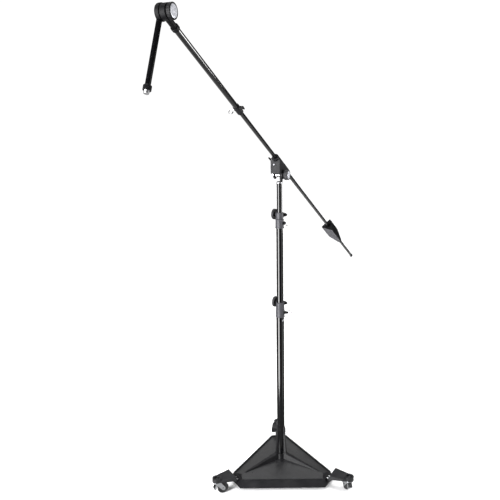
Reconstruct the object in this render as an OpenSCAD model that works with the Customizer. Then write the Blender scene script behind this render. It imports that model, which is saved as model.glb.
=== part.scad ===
// Studio boom microphone stand: cast three-cornered base on three swivel casters, a mast of
// three telescoping tubes, and a counterweighted two-part boom with a short drop arm.
// Frame: origin on the floor below the mast axis, +Z up, the base's front edge toward -Y.

/* [Base] */
// Distance from the mast axis to each long side of the rim
base_side = 150; // [145:1:158]
// Distance from the mast axis to each cut corner of the rim
base_corner = 235; // [228:1:242]
// Height of the rim above the floor
rim_z = 50; // [46:1:56]
// Height of the skirt's lower edge above the floor
skirt_z = 16; // [12:1:20]
// How far the skirt's foot stands out from the rim
skirt_flare = 9.5; // [6:0.5:12]
// Wall thickness of the casting
cast_wall = 12; // [8:1:14]
// Height of the top of the fins that brace the mast's foot
fin_top_z = 235; // [220:1:245]
// Distance from the mast axis to each caster's stem
caster_reach = 338; // [325:1:350]
// Diameter of the caster wheels
wheel_d = 50; // [46:1:52]

/* [Mast] */
// Outside diameter of the lower tube
lower_d = 35; // [34:0.5:36]
// Outside diameter of the middle tube
middle_d = 30; // [29:0.5:30.5]
// Outside diameter of the top tube
top_d = 24; // [22:0.5:25]
// Wall thickness of the mast tubes
mast_wall = 1.5; // [1.2:0.1:1.8]
// Height of the bottom of the lower clamp
lower_clamp_z = 764; // [720:1:800]
// Height of the bottom of the upper clamp
upper_clamp_z = 1166; // [1000:1:1240]
// Height of the top of the mast tube
mast_top_z = 1360; // [1300:1:1500]
// Diameter of the clamp knobs
knob_d = 48; // [44:1:52]
// Direction that the clamp knobs point, from +X towards +Y
knob_dir = 150; // [135:1:160]

/* [Boom] */
// Turn of the boom's tail from +Y towards +X
boom_pan = 22.4; // [0:0.1:45]
// Slope of the boom, head end up
boom_rise = 26; // [10:0.5:40]
// Height of the tilt bolt
tilt_z = 1395; // [1388:1:1500]
// Height of the boom's centre line above the tilt bolt
boom_lift = 52; // [50:1:60]
// Outside diameter of the rear boom tube
rear_d = 16; // [15:0.5:16]
// Outside diameter of the front boom tube
front_d = 19; // [18.5:0.5:20]
// Distance along the boom from the mast to the head's axis
head_t = 990; // [985:1:1050]
// Distance along the boom from the mast to the tail end
tail_t = 1575; // [1500:1:1650]
// Distance along the boom from the mast to the counterweight
weight_t = 897; // [850:1:950]
// Side of the counterweight's three-cornered section
weight_side = 71; // [68:1:80]
// Distance from the head's axis to the threaded end of the drop arm
drop_len = 236; // [200:1:260]

/* [Head] */
// Diameter of the head's drums
drum_d = 49; // [46:1:52]
// Major diameter of the microphone thread, 5/8 inch
thread_d = 15.875; // [15.875:0.001:15.876]

/* [Hidden] */
$fn = 48;

dark = "#2b2b2e";
grey = "#6d6e72";
chrome = "#c9ccd0";
silver = "#d8dade";
eps = 0.01;
fit = 0.06;

// ---- base ----
corner_dirs = [90, 210, 330];
side_dirs = [30, 150, 270];
rim_lip = 7;
face_drop = 3;
face_slope = 11.3;
corner_slope = 27;
foot_r = 21.5;
foot_top_z = 98;
socket_z = 40;
socket_floor = 10;

// Half the length of a cut corner, for sides at distance a and corners at distance c
function half_cut(a, c) = (a - c / 2) / cos(30);
function spot(dir, along, across = 0) =
    [along * cos(dir) - across * sin(dir), along * sin(dir) + across * cos(dir)];
function outline(a, c) =
    [for (d = corner_dirs) each [spot(d, c, -half_cut(a, c)), spot(d, c, half_cut(a, c))]];

// Block that cuts away all that lies outside a leaning side wall
module outside_wall(dir, dist, lean) {
    rotate([0, 0, dir]) translate([dist, 0, rim_z]) rotate([0, -lean, 0])
        translate([0, -500, -200]) cube([300, 1000, 400]);
}

module skirt_block(inset, top) {
    lean = atan(skirt_flare / (rim_z - skirt_z));
    a = base_side - inset;
    c = base_corner - inset;
    difference() {
        translate([0, 0, inset > 0 ? 0 : skirt_z])
            linear_extrude(top - (inset > 0 ? 0 : skirt_z))
            polygon(outline(a + 2 * skirt_flare, c + 2 * skirt_flare));
        for (d = side_dirs) outside_wall(d, a, lean);
        for (d = corner_dirs) outside_wall(d, c, lean);
    }
}

// Block that cuts away all that lies above a sloping top face
module above_face(dir, dist, z, slope) {
    rotate([0, 0, dir]) translate([dist, 0, z]) rotate([0, slope, 0])
        translate([-500, -500, 0]) cube([1000, 1000, 300]);
}

module sloping_top(drop) {
    a = base_side - rim_lip;
    c = base_corner - rim_lip;
    z = rim_z - face_drop - drop;
    difference() {
        translate([0, 0, skirt_z + 6 - drop]) linear_extrude(120) polygon(outline(a - drop, c - drop));
        for (d = side_dirs) above_face(d, a, z, face_slope);
        for (d = corner_dirs) above_face(d, c, z, corner_slope);
    }
}

// One of three braces: a low rib out to the cut corner, and a thin fin up along the mast
module rib(dir) {
    rib_in = 12;
    rib_out = 196;
    knee_z = 101;
    fin_half = 5;
    rotate([0, 0, dir]) intersection() {
        rotate([90, 0, 0]) linear_extrude(40, center = true)
            polygon([[rib_in, 50], [rib_in, fin_top_z], [18.2, fin_top_z], [19, fin_top_z - 10],
                [20.5, fin_top_z - 35], [22.5, fin_top_z - 70], [25, fin_top_z - 102],
                [27.2, fin_top_z - 125], [30, 99], [rib_out, 56.5], [rib_out, 50]]);
        union() {
            translate([0, 0, 40]) linear_extrude(knee_z - 40)
                polygon([[rib_in, -10], [rib_out, -3.5], [rib_out, 3.5], [rib_in, 10]]);
            translate([rib_in - 2, -fin_half, knee_z - 5]) cube([40, 2 * fin_half, 200]);
        }
    }
}

module base_casting() {
    pocket_r = caster_reach - 75;
    color(dark) difference() {
        union() {
            difference() {
                union() {
                    difference() {
                        skirt_block(0, rim_z);
                        translate([0, 0, rim_z - face_drop]) linear_extrude(20)
                            polygon(outline(base_side - rim_lip, base_corner - rim_lip));
                    }
                    sloping_top(0);
                    for (d = corner_dirs) rib(d);
                }
                skirt_block(cast_wall, rim_z - cast_wall);
                sloping_top(cast_wall);
            }
            translate([0, 0, socket_z - socket_floor]) cylinder(r = 34, h = 40);
            translate([0, 0, 60]) cylinder(r = foot_r, h = foot_top_z - 60);
        }
        translate([0, 0, socket_z]) cylinder(r = lower_d / 2 + fit, h = fin_top_z);
        translate([0, 0, socket_z - socket_floor - eps]) cylinder(r = 5.2, h = 30);
        for (d = corner_dirs, s = [-1, 1])
            translate(concat(spot(d, base_corner - cast_wall, s * bolt_across), arm_bolt_z))
            rotate([0, 0, d]) rotate([0, 90, 0]) translate([0, 0, -6]) cylinder(r = 3.2, h = 46);
    }
}

// ---- caster arms ----
arm_top_z = 74.5;
arm_far_z = 70.5;
arm_near = 260;
arm_half_near = 36;
arm_half_far = 29;
arm_depth = 18;
boss_r = 21;
boss_top_z = 77.5;
boss_bottom_z = 61;
stem_r = 5.5;
foot_half = 16;
bolt_across = 8.5;
arm_bolt_z = 42;
lug_out = 10;

module caster_arm(dir) {
    face = base_corner + skirt_flare;
    color(dark) rotate([0, 0, dir]) difference() {
        union() {
            // Sloping top with its side walls
            intersection() {
                rotate([90, 0, 0]) linear_extrude(100, center = true) polygon([
                    [arm_near, arm_top_z - arm_depth - 3], [arm_near, arm_top_z],
                    [caster_reach, arm_far_z], [caster_reach, boss_bottom_z + 0.3],
                    [arm_near + 50, boss_bottom_z + 0.3]]);
                translate([0, 0, 20]) linear_extrude(80) polygon([
                    [arm_near, -arm_half_near], [arm_near, arm_half_near],
                    [caster_reach - 18, arm_half_far], [caster_reach, boss_r - 2],
                    [caster_reach, 2 - boss_r], [caster_reach - 18, -arm_half_far]]);
            }
            translate([caster_reach, 0, boss_bottom_z]) cylinder(r = boss_r, h = boss_top_z - boss_bottom_z);
            // Foot that reaches down and bolts to the base's cut corner
            rotate([90, 0, 0]) linear_extrude(2 * foot_half, center = true) polygon([
                [face - 3.6, 30], [face - 6.4, rim_z - 10], [face + 1, rim_z - 4],
                [arm_near + 6, arm_top_z - 6], [arm_near + 28, arm_top_z - arm_depth],
                [arm_near + 15, arm_top_z - arm_depth], [face + lug_out, 30]]);
        }
        // Underside is hollow between the side walls
        translate([arm_near + 14, -20, arm_top_z - arm_depth - 20])
            cube([caster_reach - arm_near - 40, 40, arm_depth + 8]);
        translate([caster_reach, 0, boss_bottom_z - eps]) cylinder(r = stem_r + fit, h = 40);
        translate([caster_reach, 0, boss_top_z - 11]) cylinder(r = 13, h = 20);
        for (s = [-1, 1]) translate([face - 20, s * bolt_across, arm_bolt_z]) rotate([0, 90, 0]) {
            cylinder(r = 3.2, h = 60);
            translate([0, 0, 20 + lug_out - 4]) cylinder(r = 6.3, h = 80);
        }
    }
}

module caster_arm_back() caster_arm(corner_dirs[0]);
module caster_arm_left() caster_arm(corner_dirs[1]);
module caster_arm_right() caster_arm(corner_dirs[2]);

module arm_bolts() {
    face = base_corner + skirt_flare;
    color(chrome) for (d = corner_dirs, s = [-1, 1])
        rotate([0, 0, d]) translate([face, s * bolt_across, arm_bolt_z]) rotate([0, 90, 0]) {
            translate([0, 0, -25]) cylinder(r = 3, h = 25 + lug_out - 4);
            translate([0, 0, lug_out - 4]) cylinder(r = 5.5, h = 4, $fn = 6);
        }
}

// ---- casters ----
// Each caster swivels about its stem, and its wheel trails the stem
caster_names = ["back", "left", "right"];
trail = 27;
trail_dirs = [300, 22, 105];
fork_top_z = 58.5;
fork_gap = 11.5;
plate_t = 2;
axle_r = 3;

module at_caster(i) translate(concat(spot(corner_dirs[i], caster_reach), 0)) rotate([0, 0, trail_dirs[i]]) children();

module caster_fork(i) {
    color(chrome) at_caster(i) {
        // Stem with its nut inside the arm's boss
        translate([0, 0, fork_top_z - 2]) cylinder(r = stem_r, h = boss_top_z - fork_top_z - 6);
        translate([0, 0, boss_top_z - 11 + 0.3]) cylinder(r = 8, h = 6, $fn = 6);
        translate([0, 0, fork_top_z - 2.5]) cylinder(r = 16, h = 3);
        for (s = [-1, 1]) difference() {
            translate([0, s * fork_gap - plate_t / 2, 0]) rotate([90, 0, 0]) translate([0, 0, -plate_t])
                linear_extrude(plate_t) difference() {
                    union() {
                        polygon([[-14, fork_top_z - 2], [14, fork_top_z - 2], [trail + 8, wheel_d / 2 + 4],
                            [trail + 6, wheel_d / 2 - 6], [trail - 6, wheel_d / 2 - 6]]);
                        translate([trail, wheel_d / 2]) circle(r = 8);
                    }
                }
        }
        // Bridge below the swivel race joins the fork's two legs
        translate([-14, -fork_gap - plate_t / 2, fork_top_z - 3.4]) cube([28, 2 * fork_gap + plate_t, 2]);
        translate([trail, 0, wheel_d / 2]) rotate([90, 0, 0])
            cylinder(r = axle_r, h = 2 * fork_gap + 6, center = true);
        translate([brake_x, 0, brake_z]) rotate([90, 0, 0])
            cylinder(r = 2, h = 2 * fork_gap + 3, center = true);
        for (s = [-1, 1]) translate([trail, s * (fork_gap + 1.5), wheel_d / 2]) rotate([90, 0, 0])
            cylinder(r = 5, h = 2.4, center = true);
    }
}

module caster_wheel(i) {
    r = wheel_d / 2;
    half = 9;
    color(dark) at_caster(i) translate([trail, 0, r]) rotate([90, 0, 0]) rotate_extrude($fn = 72)
        polygon([[axle_r + fit, -half - 0.5], [8, -half - 0.5], [9, -half + 2], [r - 7, -half + 2],
            [r - 5, -half], [r - 2.5, -half], [r, -half + 4], [r, half - 4], [r - 2.5, half],
            [r - 5, half], [r - 7, half - 2], [9, half - 2], [8, half + 0.5], [axle_r + fit, half + 0.5]]);
}

// Brake lever: hangs beside the tyre from a pin through the fork
brake_x = -4;
brake_z = 49;
module caster_brake(i) {
    w = 2 * fork_gap - plate_t - 1.4;
    color(chrome) at_caster(i) translate([brake_x, 0, brake_z]) difference() {
        rotate([90, 0, 0]) linear_extrude(w, center = true)
            polygon([[-5, -4], [-12, -18], [-11.5, -23], [-8, -26], [-3.5, -25], [-1.5, -20], [2, -5], [5, -1], [4, 4],
                [-2, 5]]);
        rotate([90, 0, 0]) cylinder(r = 2 + fit, h = 60, center = true);
    }
}

module caster_fork_back() caster_fork(0);
module caster_fork_left() caster_fork(1);
module caster_fork_right() caster_fork(2);
module caster_wheel_back() caster_wheel(0);
module caster_wheel_left() caster_wheel(1);
module caster_wheel_right() caster_wheel(2);
module caster_brake_back() caster_brake(0);
module caster_brake_left() caster_brake(1);
module caster_brake_right() caster_brake(2);

// ---- mast ----
clamp_h = 68;
sleeve_h = 40;
lower_overlap = 380;
top_overlap = 490;
bush_h = 30;

module tube(r, wall, z0, z1) {
    translate([0, 0, z0]) difference() {
        cylinder(r = r, h = z1 - z0, $fn = 72);
        translate([0, 0, -1]) cylinder(r = r - wall, h = z1 - z0 + 2, $fn = 72);
    }
}

module mast_foot_plug() {
    color(grey) translate([0, 0, socket_z + 0.5]) difference() {
        cylinder(r = lower_d / 2 - mast_wall - 0.02, h = 36);
        translate([0, 0, -1]) cylinder(r = 5.05, h = 28);
    }
}

module mast_foot_bolt() {
    color(chrome) translate([0, 0, socket_z - socket_floor]) {
        cylinder(r = 5, h = 34);
        translate([0, 0, -2]) cylinder(r = 14, h = 2);
        translate([0, 0, -8.5]) cylinder(r = 9, h = 6.5, $fn = 6);
    }
}

module mast_lower_tube() {
    color(dark) difference() {
        tube(lower_d / 2, mast_wall, socket_z + 0.2, lower_clamp_z + sleeve_h - 4);
        at_rivet() translate([0, 0, -6]) cylinder(r = 2.15, h = 12);
    }
}

module at_rivet() rotate([0, 0, -52]) translate([lower_d / 2, 0, lower_clamp_z - 14]) rotate([0, 90, 0]) children();

module mast_rivet() {
    color(chrome) at_rivet() {
        translate([0, 0, -mast_wall]) cylinder(r = 2.1, h = mast_wall + 0.5);
        rotate_extrude() polygon([[0, 0.1], [4.4, 0.1], [4.2, 0.9], [2.6, 1.9], [0, 2.2]]);
    }
}

module mast_middle_tube()
    color(dark) tube(middle_d / 2, mast_wall, upper_clamp_z - lower_overlap - 334, upper_clamp_z + sleeve_h - 4);

module middle_guide_bush() {
    color(grey) tube(lower_d / 2 - mast_wall - 0.08, (lower_d - middle_d) / 2 - mast_wall - 0.08,
        upper_clamp_z - lower_overlap - 334, upper_clamp_z - lower_overlap - 334 + bush_h);
}

module mast_top_tube()
    color(dark) tube(top_d / 2, 1.2, mast_top_z - top_overlap - 158, mast_top_z);

module top_guide_bush() {
    z0 = mast_top_z - top_overlap - 158;
    color(grey) tube(middle_d / 2 - mast_wall - 0.08, (middle_d - top_d) / 2 - mast_wall - 0.08, z0, z0 + bush_h);
}

// Plug in the top tube's end, with a thin collar round the swivel's foot
module mast_top_cap() {
    color(silver) difference() {
        union() {
            translate([0, 0, mast_top_z - 24]) cylinder(r = top_d / 2 - 1.25, h = 24);
            translate([0, 0, mast_top_z]) rotate_extrude() polygon([[0, 0], [top_d / 2 + 0.6, 0],
                [top_d / 2 + 0.6, 2.2], [top_d / 2 - 0.4, 3.2], [0, 3.2]]);
        }
        translate([0, 0, mast_top_z - 30]) cylinder(r = swivel_r + 0.08, h = 40);
    }
}

// ---- mast clamps ----
// Clamp frame: X points to the knob, the bolt runs along X beside the tube
bolt_off = 22;
clamp_bolt_r = 3.5;
ear_half = 12;
ear_r = 9;
knob_in = 30;
knob_t = 14;

module at_clamp(z) translate([0, 0, z]) rotate([0, 0, knob_dir]) children();
module on_bolt(z) at_clamp(z) translate([0, -bolt_off, 0]) rotate([0, 90, 0]) children();

module clamp_collar(z, outer_tube, inner_tube, sleeve_r, grip_r, bolt_up) {
    difference() {
        union() {
            translate([0, 0, z]) rotate_extrude($fn = 72) polygon([
                [0, 0], [sleeve_r + 0.9, 0], [sleeve_r + 0.9, 4], [sleeve_r, 5], [sleeve_r, sleeve_h - 2.5],
                [sleeve_r - 1, sleeve_h - 1], [grip_r - 0.8, sleeve_h], [grip_r, sleeve_h + 1.5],
                [grip_r, clamp_h - 2], [grip_r - 1.6, clamp_h], [0, clamp_h]]);
            on_bolt(z + bolt_up) {
                translate([0, 0, -ear_half]) cylinder(r = ear_r, h = 2 * ear_half);
                cylinder(r = 7, h = knob_in - 0.5);
            }
            at_clamp(z + bolt_up) translate([-ear_half, -bolt_off, -ear_r])
                cube([2 * ear_half, bolt_off - 6, 2 * ear_r]);
        }
        translate([0, 0, z - 1]) cylinder(r = outer_tube / 2 + 0.02, h = sleeve_h - 3, $fn = 72);
        translate([0, 0, z + 10]) cylinder(r = inner_tube / 2 + 0.08, h = clamp_h, $fn = 72);
        at_clamp(z + sleeve_h) translate([-1.25, -bolt_off - ear_r - 1, 0]) cube([2.5, bolt_off + ear_r + 1, clamp_h]);
        on_bolt(z + bolt_up) translate([0, 0, -40]) cylinder(r = clamp_bolt_r + fit, h = 100);
    }
}

module clamp_bolt(z) on_bolt(z) {
    translate([0, 0, -ear_half - 1]) cylinder(r = clamp_bolt_r, h = ear_half + knob_in + 10);
    translate([0, 0, -ear_half - 8]) cylinder(r = 7.2, h = 8, $fn = 6);
    translate([0, 0, -ear_half - 11]) cylinder(r = 5, h = 3.5);
}

// Round hand knob with a domed outer face and finger flutes round its rim
module hand_knob(r, t, bore_r, bore_depth) {
    difference() {
        rotate_extrude($fn = 72) polygon([[0, 0], [r * 0.55, 0], [r * 0.62, 1.2], [r - 3, 1.2], [r - 1, 2],
            [r, 4], [r, t * 0.6], [r - 1.5, t * 0.78], [r * 0.72, t * 0.94], [r * 0.4, t], [0, t]]);
        translate([0, 0, -1]) cylinder(r = bore_r, h = bore_depth + 1);
        for (a = [0:20:340]) rotate([0, 0, a]) translate([r + 1.6, 0, -1]) cylinder(r = 2.4, h = t + 2, $fn = 24);
    }
}

lower_bolt_up = 60;
upper_bolt_up = 56;
module lower_clamp_collar() {
    color(grey) difference() {
        clamp_collar(lower_clamp_z, lower_d, middle_d, 19.4, 18.8, lower_bolt_up);
        hook_hole(lower_clamp_z);
    }
}
module lower_clamp_bolt() color(chrome) clamp_bolt(lower_clamp_z + lower_bolt_up);
module lower_clamp_knob()
    color(dark) on_bolt(lower_clamp_z + lower_bolt_up) translate([0, 0, knob_in]) hand_knob(knob_d / 2, knob_t, clamp_bolt_r + fit, 10.5);
module upper_clamp_collar() {
    color(grey) difference() {
        clamp_collar(upper_clamp_z, middle_d, top_d, 18.2, 16.5, upper_bolt_up);
        hook_hole(upper_clamp_z);
    }
}
module upper_clamp_bolt() color(chrome) clamp_bolt(upper_clamp_z + upper_bolt_up);
module upper_clamp_knob()
    color(dark) on_bolt(upper_clamp_z + upper_bolt_up) translate([0, 0, knob_in]) hand_knob(knob_d / 2, knob_t, clamp_bolt_r + fit, 10.5);

// ---- cable hooks ----
hook_dir = -20;
hook_up = 22;
hook_in = 17.6;
wire_r = 1.2;
tip_r = 1.9;

module at_hook(z) translate([0, 0, z + hook_up]) rotate([0, 0, hook_dir]) children();
module hook_hole(z) at_hook(z) rotate([0, 90, 0]) translate([0, 0, 12]) cylinder(r = 2.6, h = 20);

module hook_boss(z, reach) {
    color(dark) at_hook(z) rotate([0, 90, 0]) difference() {
        union() {
            translate([0, 0, hook_in + 0.1]) cylinder(r = 2.55, h = 3);
            translate([0, 0, hook_in + 2.2]) cylinder(r1 = 8.5, r2 = 4, h = reach);
        }
        translate([0, 0, hook_in + 4]) cylinder(r = wire_r + 0.03, h = 40);
    }
}

// Wire hook: straight shank along +X, then an open bend that ends in a dipped tip
module wire_hook(bend_r, shank, tip_len) {
    rotate([0, 90, 0]) cylinder(r = wire_r, h = shank);
    translate([shank, 0, 0]) sphere(r = wire_r + 0.4, $fn = 24);
    translate([shank, 0, -bend_r]) rotate([90, 0, 0]) rotate([0, 0, -150]) {
        rotate_extrude(angle = 240) translate([bend_r, 0]) circle(r = wire_r, $fn = 24);
        translate([bend_r, 0, 0]) rotate([90, 0, 0]) translate([0, 0, -0.5]) cylinder(r = tip_r, h = tip_len);
    }
}

module mast_hook(z, reach, turn) {
    color(chrome) at_hook(z) translate([hook_in + 4.5, 0, 0]) rotate([turn, 0, 0])
        wire_hook(8, reach + 9, 6);
}

lower_boss_len = 17;
upper_boss_len = 9;
module lower_hook_boss() hook_boss(lower_clamp_z, lower_boss_len);
module upper_hook_boss() hook_boss(upper_clamp_z, upper_boss_len);
module lower_cable_hook() mast_hook(lower_clamp_z, lower_boss_len, 165);
module upper_cable_hook() mast_hook(upper_clamp_z, upper_boss_len, 0);

// ---- swivel and tilt clutch ----
// Pan frame: X is the tilt axis, Y points to the boom's tail
boom_z = tilt_z + boom_lift;
swivel_r = 7;
eye_r = 15;
tongue_x = 5;
tongue_t = 7;
ear_left = -22;
ear_right = 13.5;
ear_t = 5;
tilt_bolt_r = 4;

module pan_frame() rotate([0, 0, -boom_pan]) children();
module on_tilt() pan_frame() translate([0, 0, tilt_z]) rotate([0, 90, 0]) children();

module swivel_yoke() {
    color(dark) pan_frame() difference() {
        union() {
            translate([0, 0, mast_top_z - 22]) cylinder(r = swivel_r, h = 24);
            translate([0, 0, mast_top_z + 3.6]) cylinder(r = top_d / 2 - 1, h = 4);
            translate([0, 0, mast_top_z + 1]) cylinder(r = swivel_r, h = 3);
            translate([tongue_x, 0, 0]) rotate([90, 0, 90]) linear_extrude(tongue_t) polygon([
                [-7, mast_top_z + 4], [7, mast_top_z + 4], [eye_r - 2, tilt_z - 8], [eye_r - 1, tilt_z],
                [1 - eye_r, tilt_z], [2 - eye_r, tilt_z - 8]]);
            translate([tongue_x, 0, tilt_z]) rotate([0, 90, 0]) cylinder(r = eye_r, h = tongue_t);
        }
        translate([0, 0, tilt_z]) rotate([0, 90, 0]) cylinder(r = tilt_bolt_r + fit, h = 60, center = true);
    }
}

module boom_frame() pan_frame() translate([0, 0, boom_z]) rotate([-boom_rise, 0, 0]) children();

clamp_front = -56;
clamp_back = 96;
saddle_r = 15;
module boom_clamp_body() {
    body_low = 8;
    body_front = -47;
    saddle_drop = 10;
    color(grey) difference() {
        union() {
            boom_frame() translate([0, clamp_front, 0]) rotate([-90, 0, 0])
                cylinder(r = saddle_r, h = clamp_back - clamp_front);
            // Wedge-shaped body below the saddle
            pan_frame() translate([ear_left, 0, 0]) rotate([90, 0, 90]) linear_extrude(ear_right + ear_t - ear_left)
                polygon([[body_front, tilt_z + body_low], [body_front, boom_z - body_front * tan(boom_rise) - saddle_drop],
                    [(boom_lift - body_low - saddle_drop) / tan(boom_rise), tilt_z + body_low]]);
            for (x = [ear_left, ear_right]) pan_frame() {
                translate([x, 0, tilt_z]) rotate([0, 90, 0]) cylinder(r = 18, h = ear_t);
                translate([x, -18, tilt_z]) cube([ear_t, 36, body_low + 4]);
            }
            // Pad for the locking screw
            boom_frame() translate([0, lock_t, 0]) rotate([0, -90, 0]) cylinder(r = 7.5, h = saddle_r + 3);
        }
        boom_frame() translate([0, clamp_front - 5, 0]) rotate([-90, 0, 0])
            cylinder(r = rear_d / 2 + 0.08, h = clamp_back - clamp_front + 20);
        on_tilt() cylinder(r = tilt_bolt_r + fit, h = 90, center = true);
        // Room for the yoke's tongue and the spacer between the ears
        pan_frame() translate([ear_left + ear_t, -30, tilt_z - 30])
            cube([ear_right - ear_left - ear_t, 54, 30 + body_low + 10]);
        boom_frame() translate([0, lock_t, 0]) rotate([0, -90, 0]) cylinder(r = 3 + fit, h = saddle_r + 10);
        screw_place() translate([0, 0, -12]) cylinder(r = 2.5, h = 20);
    }
}

module screw_place() pan_frame() translate([ear_left + 16, -47, tilt_z + boom_lift - 6]) rotate([90, 0, 0]) children();

module clamp_screw() {
    color(chrome) screw_place() {
        translate([0, 0, -11]) cylinder(r = 2.45, h = 12);
        rotate_extrude() polygon([[0, 0], [4.5, 0], [4.3, 1.2], [2.8, 2.4], [0, 2.8]]);
    }
}

module tilt_bolt() {
    color(chrome) on_tilt() {
        translate([0, 0, ear_left - 1]) cylinder(r = tilt_bolt_r, h = 52);
        translate([0, 0, ear_left - 6]) cylinder(r = 7.5, h = 6, $fn = 6);
    }
}

module tilt_spacer() {
    x0 = ear_left + ear_t + 0.2;
    color(chrome) on_tilt() translate([0, 0, x0]) difference() {
        rotate_extrude() polygon([[0, 0], [8, 0], [10.5, 3], [10.5, 9], [8, 12], [8, tongue_x - x0 - 0.4],
            [0, tongue_x - x0 - 0.4]]);
        translate([0, 0, -1]) cylinder(r = tilt_bolt_r + fit, h = 60);
    }
}

tilt_knob_x = ear_right + ear_t + 0.5;
tilt_knob_len = 24;
module tilt_knob() {
    r = 21.5;
    color(dark) on_tilt() translate([0, 0, tilt_knob_x]) difference() {
        rotate_extrude($fn = 72) polygon([[0, 0], [12, 0], [13, 5], [r - 2, 6], [r, 8.5], [r, tilt_knob_len - 2],
            [r - 1.5, tilt_knob_len], [r - 3.5, tilt_knob_len], [r - 3.5, tilt_knob_len - 1.5], [0, tilt_knob_len - 1.5]]);
        translate([0, 0, -1]) cylinder(r = tilt_bolt_r + fit, h = 14);
        for (a = [0:18:342]) rotate([0, 0, a]) translate([r + 1.5, 0, 5]) cylinder(r = 2.2, h = 40, $fn = 24);
    }
}

module knob_cap(r) rotate_extrude($fn = 72)
    polygon([[0, 0], [r, 0], [r, 0.8], [r - 0.8, 1.6], [r * 0.5, 2.1], [0, 2.3]]);

module tilt_knob_cap() color(silver) on_tilt() translate([0, 0, tilt_knob_x + tilt_knob_len - 1.45]) knob_cap(17.9);

// Small T-headed screw that locks the boom in its saddle
lock_t = -38;
module boom_lock_screw() {
    color(dark) boom_frame() translate([0, lock_t, 0]) rotate([0, -90, 0]) {
        translate([0, 0, rear_d / 2 + 0.3]) cylinder(r = 3, h = 22);
        translate([0, 0, rear_d / 2 + 22]) rotate([90, 0, 0]) cylinder(r = 3.4, h = 20, center = true);
    }
}

// ---- boom ----
rear_front_t = -700;
joint_t = -445;
joint_len = 46;
ring_t = -938;

module boom_tube(r, wall, t0, t1) boom_frame() rotate([-90, 0, 0]) tube(r, wall, t0, t1);

module boom_rear_tube() color(dark) boom_tube(rear_d / 2, 1.2, rear_front_t, tail_t - 6);

module boom_end_cap() {
    color(dark) boom_frame() rotate([-90, 0, 0]) translate([0, 0, tail_t]) rotate_extrude()
        polygon([[0, -28], [rear_d / 2 - 1.25, -28], [rear_d / 2 - 1.25, -5.9], [rear_d / 2 + 2, -5.9],
            [rear_d / 2 + 2, -1.5], [rear_d / 2, 0.5], [0, 1.5]]);
}

module boom_front_tube() color(dark) boom_tube(front_d / 2, front_d / 2 - rear_d / 2 - 0.35, ring_t + 0.2, joint_t - 6);

joint_screw_t = -479;
joint_hook_t = -466;
module boom_joint_collar() {
    r = 12;
    color(grey) boom_frame() difference() {
        union() {
            rotate([-90, 0, 0]) translate([0, 0, joint_t - joint_len]) rotate_extrude() polygon([[0, 0],
                [r - 1, 0], [r, 1.2], [r, joint_len - 3], [r - 2, joint_len], [0, joint_len]]);
            translate([6, joint_screw_t, 0]) rotate([0, 90, 0]) cylinder(r = 6.5, h = 10);
            translate([-6, joint_hook_t, 0]) rotate([0, -90, 0]) cylinder(r1 = 6, r2 = 4, h = 9);
        }
        rotate([-90, 0, 0]) {
            translate([0, 0, joint_t - joint_len - 1]) cylinder(r = front_d / 2 + 0.03, h = joint_len - 5);
            translate([0, 0, joint_t - 20]) cylinder(r = rear_d / 2 + 0.08, h = 60);
        }
        translate([0, joint_screw_t, 0]) rotate([0, 90, 0]) cylinder(r = 3 + fit, h = 30);
        translate([0, joint_hook_t, 0]) rotate([0, -90, 0]) cylinder(r = wire_r + 0.03, h = 30);
    }
}

module boom_joint_screw() {
    color(dark) boom_frame() translate([front_d / 2 + 0.4, joint_screw_t, 0]) rotate([0, 90, 0]) {
        cylinder(r = 3, h = 12);
        translate([0, 0, 7]) cylinder(r1 = 5, r2 = 5.5, h = 7);
        translate([0, 0, 14]) rotate([90, 0, 0]) cylinder(r = 2.8, h = 17, center = true);
    }
}

module boom_cable_hook() {
    color(chrome) boom_frame() translate([-10.5, joint_hook_t, 0]) rotate([0, 0, 180]) wire_hook(8, 17, 7);
}

// Three-cornered casting with blunt corners, tapering to the tube at its far end
weight_corner = 37;
weight_inner = weight_side / (2 * sqrt(3));
weight_turn = -48;
weight_len = 183;
weight_taper = 130;
screw_dir = 138;
weight_screw_t = weight_t + 60;
module on_weight_screw() boom_frame() translate([0, weight_screw_t, 0]) rotate([0, 90 - screw_dir, 0]) children();

// Block that cuts the section down to its small end
module taper_cut(dir, dist, small, start) {
    rotate([0, 0, dir]) translate([dist, 0, weight_t + weight_len + start])
        rotate([0, -atan((dist - small) / weight_taper), 0]) translate([0, -100, 0]) cube([60, 200, 300]);
}

module counterweight() {
    color(dark) difference() {
        boom_frame() rotate([-90, 0, 0]) difference() {
            translate([0, 0, weight_t]) linear_extrude(weight_len + weight_taper) rotate(weight_turn)
                polygon(outline(weight_inner, weight_corner));
            for (d = side_dirs) taper_cut(d + weight_turn, weight_inner, 10.5, 0);
            for (d = corner_dirs) taper_cut(d + weight_turn, weight_corner, 12, 4);
            translate([0, 0, weight_t - 10]) cylinder(r = rear_d / 2 + 0.08, h = 400);
            translate([0, 0, weight_t - 10]) cylinder(r = 14, h = 16);
        }
        on_weight_screw() cylinder(r = 4 + fit, h = 60);
    }
}

module counterweight_screw() {
    color(dark) on_weight_screw() {
        translate([0, 0, rear_d / 2 + 0.3]) cylinder(r = 4, h = 24);
        translate([0, 0, rear_d / 2 + 20]) cylinder(r = 11, h = 10, $fn = 10);
    }
}

// ---- head ----
// Head frame: X is the head's axis; the drop arm leans a little towards the tail
head_lift = 12;
head_r = drum_d / 2;
drum_left = -25.5;
drum_right = -10.4;
housing_left = -9.4;
housing_right = 8;
head_knob_x = 9.5;
head_knob_len = 14;
head_bolt_r = 5;
drop_lean = 3.2;
drop_r = 8.2;
drop_x = (drum_left + drum_right) / 2;

module head_frame() boom_frame() translate([0, -head_t, head_lift]) children();
module on_head(x) head_frame() translate([x, 0, 0]) rotate([0, 90, 0]) children();
module on_drop() head_frame() translate([drop_x, 0, 0]) rotate([180 + drop_lean, 0, 0]) children();

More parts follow.
